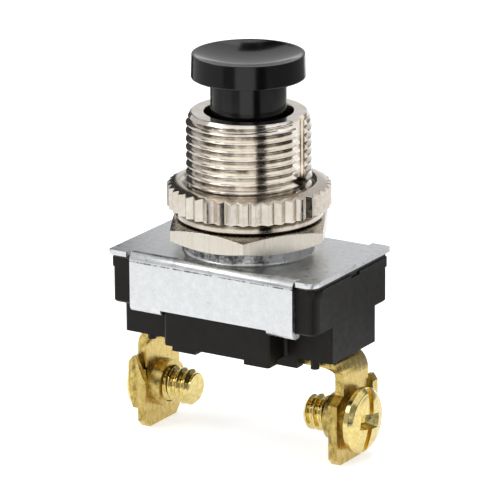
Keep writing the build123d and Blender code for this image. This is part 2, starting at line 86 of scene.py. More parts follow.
view_back = Vector(
    (
        np.sin(VIEW_AZIMUTH) * np.cos(VIEW_ELEVATION),
        -np.cos(VIEW_AZIMUTH) * np.cos(VIEW_ELEVATION),
        np.sin(VIEW_ELEVATION),
    )
)
camera = bpy.data.objects.new("camera", bpy.data.cameras.new("camera"))
bpy.context.scene.collection.objects.link(camera)
camera.data.sensor_width = SENSOR
camera.data.lens = VIEW_SCALE * VIEW_DISTANCE * SENSOR / IMAGE_SIDE
camera.data.clip_start, camera.data.clip_end = NEAR, FAR
camera.location = (AIM + view_back * VIEW_DISTANCE) * MM
camera.rotation_mode = "QUATERNION"
level = (-view_back).to_track_quat("-Z", "Y")
camera.rotation_quaternion = level @ Quaternion((0, 0, 1), -VIEW_ROLL)
bpy.context.scene.camera = camera
print("lens, mm:", round(camera.data.lens, 1))

# %% [markdown]
# ## Surfaces from arrays
# A turned piece is a profile carried round an axis, so it is a grid of rows and columns. It could
# be made with the Screw modifier, but a grid of numbers can also hold a thread or a knurl, where
# the radius changes with the angle. Two helpers turn such a grid into a mesh in one step.

# %% Grids and meshes
SAME_PLACE, NO_LENGTH = 1e-7, 1e-8


def faces_of(rows, columns, wrap_rows):
    """Quads of a grid whose columns close in a ring, and whose rows close too if asked."""
    last = rows if wrap_rows else rows - 1
    i, j = np.meshgrid(np.arange(last), np.arange(columns), indexing="ij")
    below, right = (i + 1) % rows, (j + 1) % columns
    quads = np.stack(
        [i * columns + j, i * columns + right, below * columns + right, below * columns + j], -1
    )
    return quads.reshape(-1, 4).tolist()


def shade_smooth(mesh, sharp):
    """Smooth shading, with a hard line wherever two faces meet at more than the sharp angle."""
    mesh.polygons.foreach_set("use_smooth", np.ones(len(mesh.polygons), bool))
    mesh.set_sharp_from_angle(angle=np.radians(sharp))


def mesh_from(name, points, faces, sharp=35):
    """A mesh object from points in millimetres, with doubles merged and faces turned outwards."""
    mesh = bpy.data.meshes.new(name)
    mesh.from_pydata((np.asarray(points).reshape(-1, 3) * MM).tolist(), [], faces)
    work = bmesh.new()
    work.from_mesh(mesh)
    bmesh.ops.remove_doubles(work, verts=work.verts, dist=SAME_PLACE)
    bmesh.ops.dissolve_degenerate(work, edges=work.edges, dist=NO_LENGTH)
    bmesh.ops.recalc_face_normals(work, faces=work.faces)
    work.to_mesh(mesh)
    work.free()
    shade_smooth(mesh, sharp)
    made = bpy.data.objects.new(name, mesh)
    bpy.context.scene.collection.objects.link(made)
    return made


print("quads on a closed ring of 4 rows and 8 columns:", len(faces_of(4, 8, True)))

# %% [markdown]
# A profile's corners are rounded before it is turned, because a real edge is never perfectly
# sharp, and its bright line is what the eye reads as metal. A bevel modifier could do it later,
# but in the profile each corner can have its own radius.

# %% Profiles
HOLD, LEAST_ANGLE = 0.02, 1e-3


def rounded(corners, steps=5):
    """A profile with rounded corners. Each corner is (r, z, radius): the two tangent points lie
    radius / tan(half the inner angle) before and after it, and a quadratic arc joins them. One
    more point stands close outside each tangent point, which keeps the walls beside a corner
    flat in smooth shading. A corner without a radius stays one point."""
    c = np.array([k[:2] for k in corners], float)
    size = np.array([k[2] if len(k) > 2 else 0.0 for k in corners], float)
    before, after = np.roll(c, 1, 0) - c, np.roll(c, -1, 0) - c
    a = before / np.linalg.norm(before, axis=1, keepdims=True)
    b = after / np.linalg.norm(after, axis=1, keepdims=True)
    half = np.arccos(np.clip((a * b).sum(1), -1, 1)) / 2
    reach = (size / np.tan(np.maximum(half, LEAST_ANGLE)))[:, None]
    t = np.linspace(0, 1, steps)[None, :, None]
    start, end = (c + a * reach)[:, None], (c + b * reach)[:, None]
    arc = (1 - t) ** 2 * start + 2 * t * (1 - t) * c[:, None] + t**2 * end
    hold = HOLD * (size > 0)[:, None, None]
    arc = np.concatenate([start + hold * a[:, None], arc, end + hold * b[:, None]], 1)
    keep = np.where((size > 0)[:, None], True, np.arange(steps + 2) == 0)
    return arc[keep]


def turned(profile, columns):
    """Points of a lathe form: each profile point (r, z) is carried round Z in equal steps."""
    angle = np.linspace(0, 2 * np.pi, columns, endpoint=False)
    r, z = np.asarray(profile)[:, :1], np.asarray(profile)[:, 1:]
    return np.stack([r * np.cos(angle), r * np.sin(angle), z + 0 * angle], -1)


print("points on one rounded corner:", len(rounded([(1, 0, 0.1), (2, 0), (2, 1), (1, 1)])) - 3)

# %% [markdown]
# ## Black button
# The real button is one glossy moulding. Its head is dished for a fingertip and has a fine
# rounded rim, and a plain stem goes down into the bushing. A lathe form is the natural way,
# because nothing on it depends on the angle. The dish is a parabola with its lowest point on
# the axis. Two square grooves in the stem hold the retaining ring and the clip.

# %% Button
HEAD_TOP, HEAD_FOOT, HEAD_RADIUS, HEAD_DRAFT = 12.2, 9.95, 5.3, 0.07
DISH_DEPTH, RIM_WIDTH = 0.95, 0.22
STEM_RADIUS, STEM_FOOT = 3.58, -8.15
SPIGOT_RADIUS, SPIGOT_FOOT = 1.2, -11.83
RING_GROOVE, CLIP_GROOVE = (-7.25, -7.65, 2.98), (-11.13, -11.53, 0.95)
RIM_ROUND, HEAD_ROUND, STEM_ROUND, SPIGOT_ROUND = 0.07, 0.12, 0.1, 0.08
BUTTON_COLUMNS, DISH_ROWS = 160, 32


def groove(radius, top, foot, floor):
    """Corners of a square groove in a round bar: in at its top, down its floor, out at its foot."""
    return [(radius, top), (floor, top), (floor, foot), (radius, foot)]


dish_r = np.linspace(0, HEAD_RADIUS - RIM_WIDTH, DISH_ROWS)
dish_z = HEAD_TOP - DISH_DEPTH * (1 - (dish_r / dish_r[-1]) ** 2)
outside = rounded(
    [
        (HEAD_RADIUS - RIM_WIDTH, HEAD_TOP, RIM_ROUND),
        (HEAD_RADIUS, HEAD_TOP, RIM_ROUND),
        (HEAD_RADIUS + HEAD_DRAFT, HEAD_FOOT, HEAD_ROUND),
        (STEM_RADIUS, HEAD_FOOT, HEAD_ROUND),
        *groove(STEM_RADIUS, *RING_GROOVE),
        (STEM_RADIUS, STEM_FOOT, STEM_ROUND),
        (SPIGOT_RADIUS, STEM_FOOT),
        *groove(SPIGOT_RADIUS, *CLIP_GROOVE),
        (SPIGOT_RADIUS, SPIGOT_FOOT, SPIGOT_ROUND),
        (0, SPIGOT_FOOT),
        (0, HEAD_TOP - DISH_DEPTH),
    ]
)[:-1]
profile = np.concatenate([np.stack([dish_r, dish_z], 1)[:-1], outside])
points = turned(profile, BUTTON_COLUMNS)
button = mesh_from("button_moulding", points, faces_of(len(profile), BUTTON_COLUMNS, False))
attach(button, "button")
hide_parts("button")
print("button faces:", len(button.data.polygons))

# %% [markdown]
# ## Threaded bushing
# The thread is the feature that tells a real bushing from a plain tube. It could be a bump, but
# then the outline would stay straight. Here the outer wall is a true helix: the radius depends
# on z / pitch minus angle / full turn, so each crest climbs one pitch in one turn.

# %% Thread form
CREST_FLAT, FLANK, STRAIGHT = 0.06, 0.32, 0.6


def thread_form(turns):
    """Depth of a rounded V thread, 0 on the crest and 1 in the root. The distance from the crest
    in pitches is clipped to a truncated V, then softened with a cosine."""
    away = np.abs((turns % 1) - 0.5)
    flank = np.clip((away - CREST_FLAT) / FLANK, 0, 1)
    return STRAIGHT * flank + (1 - STRAIGHT) * (0.5 - 0.5 * np.cos(2 * np.pi * away))


def thread_wall(z, columns, radius, depth, pitch, limit):
    """Points of a threaded wall at heights z. The radius is the crest's radius less the thread's
    depth, and nowhere more than the limit, which is a lathe profile of z."""
    angle = np.linspace(0, 2 * np.pi, columns, endpoint=False)
    height, turn = np.meshgrid(z, angle, indexing="ij")
    r = radius - depth * thread_form(height / pitch - turn / (2 * np.pi))
    r = np.minimum(r, limit[:, None])
    return np.stack([r * np.cos(turn), r * np.sin(turn), height], -1)


print("depth at the crest and in the root:", thread_form(np.array([0.5, 0.0])).round(2))

# %% [markdown]
# A cone at the top trims the first crest, as the lead-in of a real thread does, and at the foot
# the thread runs out. The lip, the countersunk mouth, the bore and the staked foot carry on as
# one lathe profile, so the whole bushing is one closed grid. The last corner of that profile
# only gives the first one its direction, and is dropped. So are the wall's two top rows, where
# the rounded lip takes their place.

# %% Bushing wall
THREAD_RADIUS, PITCH, THREAD_DEPTH = 5.9, 25.4 / 32, 0.43
ENGAGED_RADIUS, NUT_CLEARANCE = 5.642, 0.2
BUSHING_TOP, LEAD_HEIGHT, LEAD_WIDTH, BELOW_LIP = 6.7, 0.9, 0.45, 0.4
THREAD_FOOT, THREAD_RUNOUT = -0.42, 0.14
BORE_RADIUS, MOUTH_WIDTH, MOUTH_DEPTH = 3.64, 0.57, 1.6
NECK_RADIUS, COLLAR_TOP, PLATE_TOP, SHEET, STAKE = 5.6, -5.51, -6.7, 0.5, 0.35
LIP_ROUND, MOUTH_ROUND = 0.1, 0.12
BUSHING_COLUMNS, THREAD_ROWS, BUSHING_SHARP = 256, 190, 40

runout_foot = THREAD_FOOT - THREAD_RUNOUT
z = np.linspace(runout_foot, BUSHING_TOP, THREAD_ROWS)
lead = THREAD_RADIUS - LEAD_WIDTH * np.clip((z - BUSHING_TOP + LEAD_HEIGHT) / LEAD_HEIGHT, 0, 1)
runout = np.clip((z - THREAD_FOOT + THREAD_RUNOUT) / THREAD_RUNOUT, 0, 1)
limit = np.minimum(lead, ENGAGED_RADIUS + (THREAD_RADIUS - ENGAGED_RADIUS) * runout)
wall = thread_wall(z, BUSHING_COLUMNS, THREAD_RADIUS, THREAD_DEPTH, PITCH, limit)
rest_of_tube = rounded(
    [
        (THREAD_RADIUS - LEAD_WIDTH, BUSHING_TOP, LIP_ROUND),
        (BORE_RADIUS + MOUTH_WIDTH, BUSHING_TOP, MOUTH_ROUND),
        (BORE_RADIUS + MOUTH_WIDTH, BUSHING_TOP - MOUTH_DEPTH),
        (BORE_RADIUS, BUSHING_TOP - MOUTH_DEPTH, LIP_ROUND),
        (BORE_RADIUS, PLATE_TOP - SHEET),
        (NECK_RADIUS + STAKE, PLATE_TOP - SHEET),
        (NECK_RADIUS, PLATE_TOP - SHEET + STAKE),
        (NECK_RADIUS, COLLAR_TOP),
        (ENGAGED_RADIUS - NUT_CLEARANCE, COLLAR_TOP),
        (ENGAGED_RADIUS - NUT_CLEARANCE, runout_foot),
        (THREAD_RADIUS - LEAD_WIDTH, BUSHING_TOP - BELOW_LIP),
    ]
)[:-1]
points = np.concatenate([wall[:-2], turned(rest_of_tube, BUSHING_COLUMNS)])
faces = faces_of(len(points), BUSHING_COLUMNS, True)
bushing = mesh_from("bushing_threaded", points, faces, BUSHING_SHARP)
print("bushing rows:", len(points))

# %% [markdown]
# ## Keyway
# The keyway is a flat-bottomed slot with a round foot, milled along the thread so that a lug on
# a panel or a washer stops the switch from turning. On the grid it would need columns just where
# its walls stand. An exact boolean is simpler, and leaves the thread's cut teeth along the walls.
# The cutter is a prism over the slot's outline. The long faces that the cut leaves are then split
# into triangles, because they shade badly whole.

# %% Prisms and cuts


def prism(outline, low, high):
    """Points and faces of a prism along X over a closed outline in (y, z)."""
    count = len(outline)
    ends = [np.column_stack([np.full(count, x), outline]) for x in (low, high)]
    here = np.arange(count)
    after = (here + 1) % count
    walls = np.column_stack([here, after, after + count, here + count]).tolist()
    return np.concatenate(ends), walls + [here[::-1].tolist(), (here + count).tolist()]


def cut(piece, cutters, sharp):
    """Takes the cutters out of a piece with exact booleans, and keeps the result as its mesh."""
    for cutter in cutters:
        step = piece.modifiers.new("cut", "BOOLEAN")
        step.operation, step.solver, step.object = "DIFFERENCE", "EXACT", cutter
    graph = bpy.context.evaluated_depsgraph_get()
    mesh = bpy.data.meshes.new_from_object(piece.evaluated_get(graph))
    piece.modifiers.clear()
    piece.data = mesh
    shade_smooth(mesh, sharp)
    for cutter in cutters:
        bpy.data.objects.remove(cutter)
    return len(mesh.polygons)


print("faces of a prism over a square:", len(prism(np.zeros((4, 2)), 0, 1)[1]))

# %% Keyway
KEYWAY_WIDTH, KEYWAY_DEPTH, KEYWAY_FOOT, FOOT_POINTS = 2.1, 0.75, 0.15, 33

half = KEYWAY_WIDTH / 2
bow = np.linspace(np.pi, 2 * np.pi, FOOT_POINTS)
foot = np.column_stack([half * np.cos(bow), KEYWAY_FOOT + half + half * np.sin(bow)])
outline = np.concatenate([foot, [[half, 2 * BUSHING_TOP], [-half, 2 * BUSHING_TOP]]])
slot_form = prism(outline, THREAD_RADIUS - KEYWAY_DEPTH, 2 * THREAD_RADIUS)
slot_body = mesh_from("keyway_cutter", *slot_form)
print("bushing faces after the keyway:", cut(bushing, [slot_body], BUSHING_SHARP))
walls = bushing.modifiers.new("keyway walls in triangles", "TRIANGULATE")
walls.ngon_method, walls.min_vertices = "BEAUTY", 5
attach(bushing, "base")
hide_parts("bushing")

# %% [markdown]
# ## Knurled face nut
# Forty V grooves stand round the band of this nut. A groove seen from above is a zigzag, so the
# wall's radius is a triangle wave of the angle. Where that wall meets the cone on top, the height
# of the edge follows the radius, and that gives the saw-toothed upper line. A worn knurling wheel
# leaves no two flanks quite alike, so each corner's angle is off by a little seeded chance.

# %% Knurled band
NUT_RADIUS, KNURL_FOOT, CONE_RADIUS, CONE_DROP = 7.75, -2.38, 6.95, 0.35
GROOVES, PER_GROOVE, GROOVE_DEPTH, UNEVEN, SEED = 40, 4, 0.42, 0.005, 4

columns = GROOVES * PER_GROOVE
angle = np.linspace(0, 2 * np.pi, columns, endpoint=False)
wave = np.abs(2 * ((angle * GROOVES / (2 * np.pi)) % 1) - 1)
wave_r = NUT_RADIUS - GROOVE_DEPTH * (1 - wave)
edge_z = -CONE_DROP * (wave_r - CONE_RADIUS) / (NUT_RADIUS - CONE_RADIUS)
uneven = angle + np.random.default_rng(SEED).normal(0, UNEVEN, columns)
wave_xy = np.stack([wave_r * np.cos(uneven), wave_r * np.sin(uneven)], -1)
foot_z = np.full(columns, KNURL_FOOT)
band = np.stack([np.column_stack([wave_xy, foot_z]), np.column_stack([wave_xy, edge_z])])
print("grooves on the face nut:", GROOVES)

# %% [markdown]
# Under the band the nut has a plain hub, parted from it by a narrow undercut, and above it the
# cone and a countersunk mouth. These are lathe rows on the same columns, so all rows join into
# one closed grid. A bevel modifier then breaks the edges by a few hundredths.

# %% Face nut
NUT_BORE, NUT_HEIGHT, LEAD_IN, NUT_EDGE = 5.702, 3.48, 0.3, 0.05
HUB_RADIUS, HUB_BEVEL, UNDERCUT = 6.95, 0.22, 0.2
SINK_WIDTH, SINK_DEPTH = 0.7, 0.75


def break_edges(piece, width, angle=30):
    """A bevel modifier that rounds every edge sharper than the angle by the width."""
    bevel = piece.modifiers.new("broken edges", "BEVEL")
    bevel.width, bevel.segments = width * MM, 2
    bevel.limit_method, bevel.angle_limit = "ANGLE", np.radians(angle)
    bevel.harden_normals = True


hub = [
    (NUT_BORE, LEAD_IN - NUT_HEIGHT),
    (NUT_BORE + LEAD_IN, -NUT_HEIGHT),
    (HUB_RADIUS - HUB_BEVEL, -NUT_HEIGHT),
    (HUB_RADIUS, HUB_BEVEL - NUT_HEIGHT),
    (HUB_RADIUS, KNURL_FOOT - UNDERCUT),
    (HUB_RADIUS - UNDERCUT, KNURL_FOOT - UNDERCUT),
    (HUB_RADIUS - UNDERCUT, KNURL_FOOT),
]
mouth = [(CONE_RADIUS, 0), (NUT_BORE + SINK_WIDTH, 0), (NUT_BORE, -SINK_DEPTH)]
points = np.concatenate([turned(hub, columns), band, turned(mouth, columns)])
face_nut = mesh_from("face_nut_knurled", points, faces_of(len(points), columns, True))
break_edges(face_nut, NUT_EDGE)
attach(face_nut, "face_nut")
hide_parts("face_nut")
print("face nut faces:", len(face_nut.data.polygons))

# %% [markdown]
# ## Hexagon nut
# The flats of a turned hexagon nut end in arches, because a cone cuts the six corners. This could
# be a prism cut by two cones. On the grid it is simpler: at each angle the wall's radius is the
# flat's distance divided by the cosine of the angle from its middle, and both ends of the wall
# follow the two cones at that radius.

# %% Hexagon nut
HEX_HALF, HEX_TOP, HEX_FOOT, HEX_TURN = 7.145, -3.58, -5.46, np.radians(-2.8)
TOP_CROWN, TOP_SLOPE = HEX_HALF - 0.1, 0.29
FOOT_CROWN, FOOT_SLOPE = HEX_HALF - 0.2, 0.41
PER_FLAT, HEX_SHARP = 24, 12


def turned_by(xy, angle):
    """Points in a plane turned about its origin: (x cos - y sin, x sin + y cos) of the angle."""
    cos_t, sin_t = np.cos(angle), np.sin(angle)
    return xy @ np.array([[cos_t, sin_t], [-sin_t, cos_t]])


columns = 6 * PER_FLAT
angle = np.linspace(0, 2 * np.pi, columns, endpoint=False)
hex_r = HEX_HALF / np.cos((angle % (np.pi / 3)) - np.pi / 6)
hex_xy = np.stack([hex_r * np.cos(angle), hex_r * np.sin(angle)], -1)
foot_z = HEX_FOOT + (hex_r - FOOT_CROWN) * FOOT_SLOPE
top_z = HEX_TOP - (hex_r - TOP_CROWN) * TOP_SLOPE
wall = np.stack([np.column_stack([hex_xy, foot_z]), np.column_stack([hex_xy, top_z])])
below = [(NUT_BORE, HEX_FOOT + LEAD_IN), (NUT_BORE + LEAD_IN, HEX_FOOT), (FOOT_CROWN, HEX_FOOT)]
above = [(TOP_CROWN, HEX_TOP), (NUT_BORE + LEAD_IN, HEX_TOP), (NUT_BORE, HEX_TOP - LEAD_IN)]
points = np.concatenate([turned(below, columns), wall, turned(above, columns)])
points[..., :2] = turned_by(points[..., :2], HEX_TURN)
hex_nut = mesh_from("hex_nut_crowned", points, faces_of(len(points), columns, True), HEX_SHARP)
break_edges(hex_nut, NUT_EDGE, HEX_SHARP)
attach(hex_nut, "hex_nut")
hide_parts("hex_nut")
print("hexagon nut faces:", len(hex_nut.data.polygons))

# %% [markdown]
# ## Terminal screws
# Each screw is a lathe form along X with the same kind of helix on its shank, a narrower neck
# under its head, and a domed binding head. It is made standing on Z and then laid down: the three
# coordinates change places in turn, which keeps the thread right-handed.

# %% Screw form
SCREW_HEIGHT, SHANK_RADIUS, SCREW_PITCH, SCREW_DEPTH = -21.7, 1.75, 0.87, 0.4
SHANK_LENGTH, POINT, POINT_STEP, THREAD_STOP = 5.3, 0.4, 0.05, 0.2
NECK_DEPTH, NECK_START, NECK_TAPER = 0.3, 0.55, 0.3
HEAD_RIM, RIM_HEIGHT, HEAD_BEVEL, DOME = 3.15, 0.5, 0.42, 0.38
SEAT_ROUND, SHOULDER_ROUND, CROWN_ROUND = 0.1, 0.12, 0.15
SHANK_COLUMNS, SHANK_ROWS, DOME_ROWS = 96, 130, 16


def head_profile(seat):
    """Profile of the head from its seat to the axis: a rim, a bevel and a dome. The dome falls
    from its top with the square of the distance from the axis."""
    shoulder = seat + RIM_HEIGHT
    crown = seat + RIM_HEIGHT + HEAD_BEVEL
    rim = rounded(
        [
            (SHANK_RADIUS - NECK_DEPTH, seat),
            (HEAD_RIM, seat, SEAT_ROUND),
            (HEAD_RIM, shoulder, SHOULDER_ROUND),
            (HEAD_RIM - HEAD_BEVEL, crown, CROWN_ROUND),
            (0, crown + DOME),
        ]
    )
    dome_r = np.linspace(rim[-2, 0], 0, DOME_ROWS)
    dome_z = rim[-1, 1] - (rim[-1, 1] - rim[-2, 1]) * (dome_r / dome_r[0]) ** 2
    return np.concatenate([rim[:-2], np.stack([dome_r, dome_z], 1)])


def screw_form(seat):
    """Points of a screw on Z whose head rests at the seat: a flat end, a threaded shank that is
    limited by a blunt point and by the neck, and the head."""
    bottom = seat - SHANK_LENGTH
    z = np.linspace(bottom, seat - THREAD_STOP, SHANK_ROWS)
    point = SHANK_RADIUS - POINT * np.clip(1 - (z - bottom) / POINT, 0, 1)
    neck = SHANK_RADIUS - NECK_DEPTH * np.clip((z - seat + NECK_START) / NECK_TAPER, 0, 1)
    limit = np.minimum(point, neck)
    shank = thread_wall(z, SHANK_COLUMNS, SHANK_RADIUS, SCREW_DEPTH, SCREW_PITCH, limit)
    end = turned([(0, bottom), (SHANK_RADIUS - POINT - POINT_STEP, bottom)], SHANK_COLUMNS)
    return np.concatenate([end, shank, turned(head_profile(seat), SHANK_COLUMNS)])


def laid(points, sign):
    """Points made about Z, laid along X at the screw's height, and for the left side turned
    half round about Z."""
    return np.stack(
        [sign * points[..., 2], sign * points[..., 0], points[..., 1] + SCREW_HEIGHT], -1
    )


print("rows on a screw:", len(screw_form(0.0)))

# %% [markdown]
# The head has a through slot for a plain driver and a tapered cross recess in its middle. Both
# are cut with prisms. A share below 1 makes the recess taper: the prism's inner end shrinks to
# that share, and its outer end grows by as much, so that it has its own size at the dome's top.

# %% Screws
SLOT_WIDTH, SLOT_DEPTH, RECESS_TURN = 0.8, 0.8, np.radians(-11)
CROSS_LENGTH, CROSS_WIDTH, CROSS_DEPTH, CROSS_FLOOR = 3.7, 1.5, 1.1, 0.45
SEATS = {"right": (11.92, 1), "left": (11.36, -1)}
SCREW_SHARP, SCREW_EDGE = 40, 0.03
RECESSES = (
    (SLOT_WIDTH, 3 * HEAD_RIM, SLOT_DEPTH, 1),
    (CROSS_LENGTH, CROSS_WIDTH, CROSS_DEPTH, CROSS_FLOOR),
)


def recess_cutter(seat, sign, wide, tall, depth, share):
    """A prism as deep as the recess on both sides of the dome's top, with its ends scaled by the
    share and by 2 less the share, laid at the screw's height on its side of the switch."""
    top = seat + RIM_HEIGHT + HEAD_BEVEL + DOME
    box = np.array([[-wide, -tall], [wide, -tall], [wide, tall], [-wide, tall]]) / 2
    corners, faces = prism(turned_by(box, RECESS_TURN), top - depth, top + depth)
    corners[:, 1:] *= np.repeat([share, 2 - share], 4)[:, None]
    corners[:, 2] += SCREW_HEIGHT
    corners[:, :2] *= sign
    return mesh_from("slot_cutter", corners, faces)


for side, (seat, sign) in SEATS.items():
    points = laid(screw_form(seat), sign)
    faces = faces_of(len(points), SHANK_COLUMNS, False)
    screw = mesh_from(f"terminal_screw_{side}_threaded", points, faces, SCREW_SHARP)
    cutters = [recess_cutter(seat, sign, *recess) for recess in RECESSES]
    print(side, "screw faces:", cut(screw, cutters, SCREW_SHARP))
    break_edges(screw, SCREW_EDGE, SCREW_SHARP)
    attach(screw, f"screw_{side}")
    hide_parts(f"terminal_screw_{side}")

# %% [markdown]
# ## Springs
# Two coil springs work inside the housing. A spring is a round wire carried along a helix. A curve
# with a round bevel would also do, but points on a grid can taper and close at their ends. The
# wire's circle stands square to the path, on two directions: one points away from the axis, and
# the other is at a right angle to that one and to the path.

# %% Coil
WIRE_SIDES, STEPS_PER_TURN, COIL_SHARP = 12, 48, 60


def unit(vectors):
    """The same directions with length 1."""
    return vectors / np.linalg.norm(vectors, axis=1, keepdims=True)


def coiled(wire, foot_radius, top_radius, turns, low, high):
    """Points of a coil between two heights: its centre line climbs evenly as it turns, while its
    distance from the axis goes from the foot's radius to the top's. Each end closes in a point."""
    share = np.linspace(0, 1, int(turns * STEPS_PER_TURN))[:, None]
    angle = 2 * np.pi * turns * share
    away = np.concatenate([np.cos(angle), np.sin(angle), 0 * angle], 1)
    radius = foot_radius + (top_radius - foot_radius) * share
    height = low + wire / 2 + (high - low - wire) * share
    path = away * radius + height * np.array([0, 0, 1])
    along = unit(np.gradient(path, axis=0))
    out = unit(away - along * (away * along).sum(1, keepdims=True))
    across = np.cross(along, out)
    turn = np.linspace(0, 2 * np.pi, WIRE_SIDES, endpoint=False)[None, :, None]
    circle = wire / 2 * (np.cos(turn) * out[:, None] + np.sin(turn) * across[:, None])
    ends = np.repeat(path[[0, -1], None], WIRE_SIDES, 1)
    return np.concatenate([ends[:1], path[:, None] + circle, ends[1:]])


print("rows on a coil of two turns:", len(coiled(0.3, 2, 2, 2, 0, 3)))

# %% [markdown]
# A real spring gives way when the button is pressed. Each line of the table holds the body that
# carries the spring, the wire's thickness, the radii at foot and top, the turns, the travel and the
# fixed end.

# %% Springs
TRAVEL, OVERTRAVEL, SPRING_PLAY = 2.4, 0.6, 0.005
SPRINGS = {
    "contact_spring": ("button", 0.3, 1.85, 1.85, 2.5, OVERTRAVEL, "top"),
    "return_spring": ("base", 0.34, 2.35, 1.5, 2.25, TRAVEL, "foot"),
}
for node, (body, wire, foot_radius, top_radius, turns, travel, fixed) in SPRINGS.items():
    low, high = (corner.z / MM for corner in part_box(node))
    low, high = low + SPRING_PLAY, high - SPRING_PLAY
    points = coiled(wire, foot_radius, top_radius, turns, low, high)
    faces = faces_of(len(points), WIRE_SIDES, False)
    spring = mesh_from(f"{node}_coil", points, faces, COIL_SHARP)
    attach(spring, body)
    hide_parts(node)
    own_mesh(spring)

# %% [markdown]
# ## Stamped and moulded nodes
# The sheet frame, the housing, the terminals and the small parts inside already have the right
# shape. Their meshes are left alone, and only three modifiers work on them: one joins the loose
# triangles, one clears the flat faces of needless edges, and one breaks the sharp edges.

# %% Edges of the stamped and moulded nodes
EDGE_WIDTH = {"top_frame": 0.06, "housing": 0.14, "terminal_left": 0.07, "terminal_right": 0.07}
JOIN_WITHIN, FLAT_WITHIN, NODE_SHARP = 2e-6, 1.0, 35

for node, width in EDGE_WIDTH.items():
    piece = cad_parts[node]
    weld = piece.modifiers.new("weld", "WELD")
    weld.merge_threshold = JOIN_WITHIN
    plain = piece.modifiers.new("plain faces", "DECIMATE")
    plain.decimate_type, plain.angle_limit = "DISSOLVE", np.radians(FLAT_WITHIN)
    break_edges(piece, width, NODE_SHARP)
print("nodes with broken edges:", ", ".join(EDGE_WIDTH))

# %% [markdown]
# ## Finishes
# Each finish is a small node tree round one shader. Values that are the same all over a piece are
# set on the shader's own sockets. What varies comes from nodes that measure where a point lies on
# the piece, so a mark stays in its place from every side and needs no picture. The first helpers
# start a finish and add a node to it.

# %% Start a finish


def finish(name, colour, metallic, roughness, **sockets):
    """A new material with one principled shader, as (material, its node tree, the shader)."""
    material = bpy.data.materials.new(name)
    material.use_nodes = True
    shader = material.node_tree.nodes["Principled BSDF"]
    shader.inputs["Base Color"].default_value = (*colour, 1)
    shader.inputs["Metallic"].default_value = metallic
    shader.inputs["Roughness"].default_value = roughness
    for socket, value in sockets.items():
        shader.inputs[socket.replace("_", " ")].default_value = value
    return material, material.node_tree, shader


def add_node(tree, kind, **values):
    """A node with its properties and input values set by name."""
    node = tree.nodes.new(kind)
    for key, value in values.items():
        if key in node.inputs:
            node.inputs[key].default_value = value
        else:
            setattr(node, key, value)
    return node


def dress(piece, material):
    """Gives a piece one material."""
    piece.data.materials.clear()
    piece.data.materials.append(material)


print("materials so far:", len(bpy.data.materials))

# %% [markdown]
# Marks on metal and plastic follow the piece: rings go round it, stains lie at a height, and
# grain lies all over. The next helpers give a coordinate, the distance from the axis with the
# height, and noise. Noise could read a UV map, but Object coordinates are in metres on every
# piece, so one scale means one size of grain everywhere.

# %% Measures and grain
GRAIN_ROUGHNESS = 0.6


def coordinate(tree, kind, axis):
    """One axis, 0 to 2, of the piece's own coordinates: its place in metres where the kind is
    Object, or the way that the surface faces where it is Normal."""
    split = tree.nodes.new("ShaderNodeSeparateXYZ")
    tree.links.new(tree.nodes.new("ShaderNodeTexCoord").outputs[kind], split.inputs[0])
    return split.outputs[axis]


def gauge(tree):
    """Two measures in metres: the distance from the Z axis, which is the root of x squared plus
    y squared, and the height."""
    flat = tree.nodes.new("ShaderNodeCombineXYZ")
    for axis in range(2):
        tree.links.new(coordinate(tree, "Object", axis), flat.inputs[axis])
    away = add_node(tree, "ShaderNodeVectorMath", operation="LENGTH")
    tree.links.new(flat.outputs[0], away.inputs[0])
    return away.outputs["Value"], coordinate(tree, "Object", 2)


def grain(tree, scale, stretch=(1, 1, 1), detail=3.0, lathe=False):
    """Noise in object space, with the scale in cells to the metre. With lathe, the pattern depends
    only on the distance from the Z axis and the height, as the marks of a turning tool do."""
    place = tree.nodes.new("ShaderNodeTexCoord").outputs["Object"]
    if lathe:
        both = tree.nodes.new("ShaderNodeCombineXYZ")
        for k, measure in enumerate(gauge(tree)):
            tree.links.new(measure, both.inputs[k])
        place = both.outputs[0]
    mapping = tree.nodes.new("ShaderNodeMapping")
    mapping.inputs["Scale"].default_value = stretch
    tree.links.new(place, mapping.inputs["Vector"])
    noise = add_node(tree, "ShaderNodeTexNoise", Scale=scale, Detail=detail)
    noise.inputs["Roughness"].default_value = GRAIN_ROUGHNESS
    tree.links.new(mapping.outputs[0], noise.inputs["Vector"])
    return noise.outputs["Fac"]


print("measures: coordinate, gauge, grain")

# %% [markdown]
# These measures are then mapped and joined. A fade is the step that most marks need: fully there
# on one side of a place, gone on the other, and soft between.

# %% Maps and sums
NOISE_LOW, NOISE_HIGH = 0.3, 0.7


def spread(tree, source, low, high, start=NOISE_LOW, end=NOISE_HIGH):
    """The source value mapped from start..end to low..high. Without limits of their own, start
    and end are the values between which noise mostly lies."""
    ramp = tree.nodes.new("ShaderNodeMapRange")
    for key, value in zip(("From Min", "From Max", "To Min", "To Max"), (start, end, low, high)):
        ramp.inputs[key].default_value = value
    tree.links.new(source, ramp.inputs["Value"])
    return ramp.outputs["Result"]


def fade_in(tree, source, start, end):
    """0 up to the start, 1 from the end on, and even between."""
    return spread(tree, source, 0, 1, start, end)


def fade_out(tree, source, start, end):
    """1 up to the start, 0 from the end on, and even between."""
    return spread(tree, source, 1, 0, start, end)


def combine(tree, operation, *sources):
    """A maths node on one to three sources, each an output or a plain number."""
    node = add_node(tree, "ShaderNodeMath", operation=operation)
    for socket, source in zip(node.inputs, sources):
        if isinstance(source, (int, float)):
            socket.default_value = source
        else:
            tree.links.new(source, socket)
    return node.outputs[0]


def distance_from(tree, source, value):
    """How far the source lies from a value, on either side."""
    return combine(tree, "ABSOLUTE", combine(tree, "SUBTRACT", source, value))


print("maps: spread, fade_in, fade_out, combine, distance_from")

